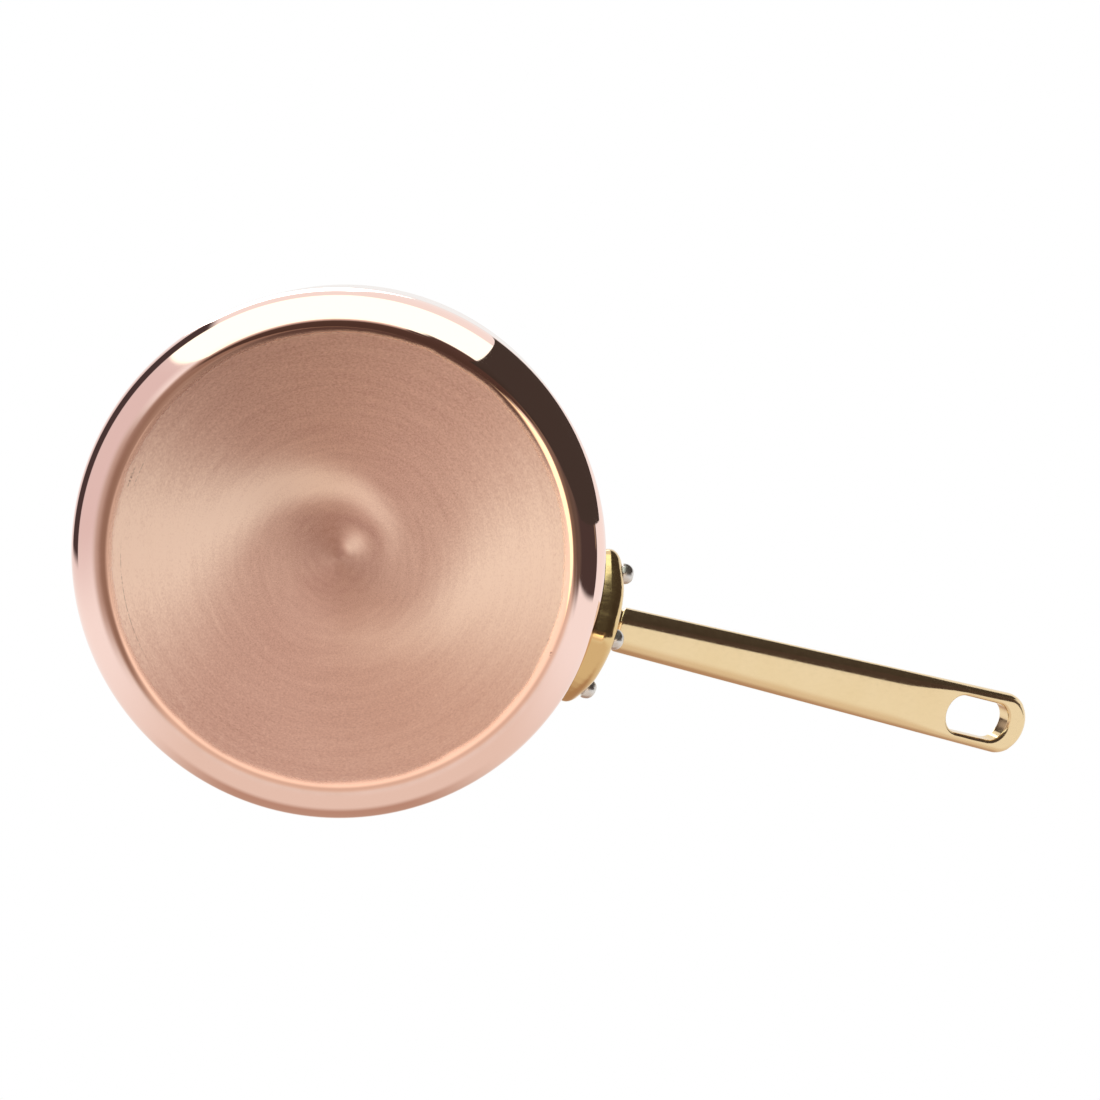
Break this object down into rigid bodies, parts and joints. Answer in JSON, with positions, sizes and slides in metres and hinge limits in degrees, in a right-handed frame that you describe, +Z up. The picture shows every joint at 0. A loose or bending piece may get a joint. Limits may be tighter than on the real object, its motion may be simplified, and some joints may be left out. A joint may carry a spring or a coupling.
{
  "type": "copper saucepan",
  "caption": "Straight-sided copper saucepan with rounded base edge, steel lining and one long rising cast brass handle riveted to the wall, with a hanging slot.",
  "frame": {"origin": "centre of the underside of the base", "axes": "+Z up through the open top, +X towards the handle, +Y completes the right-handed frame"},
  "size_m": [0.3312, 0.163, 0.1445],
  "materials": {
    "copper": "mirror polished wall and corner, concentric brushed base",
    "lining": "fine satin",
    "cast_brass": "polished casting",
    "rivet": "tumbled, slightly dull"
  },
  "bodies": {
    "root": {"copper_body": "copper", "steel_lining": "lining", "handle": "cast_brass", "rivet_lower": "rivet", "rivet_left": "rivet", "rivet_right": "rivet"}
  },
  "joints": []
}
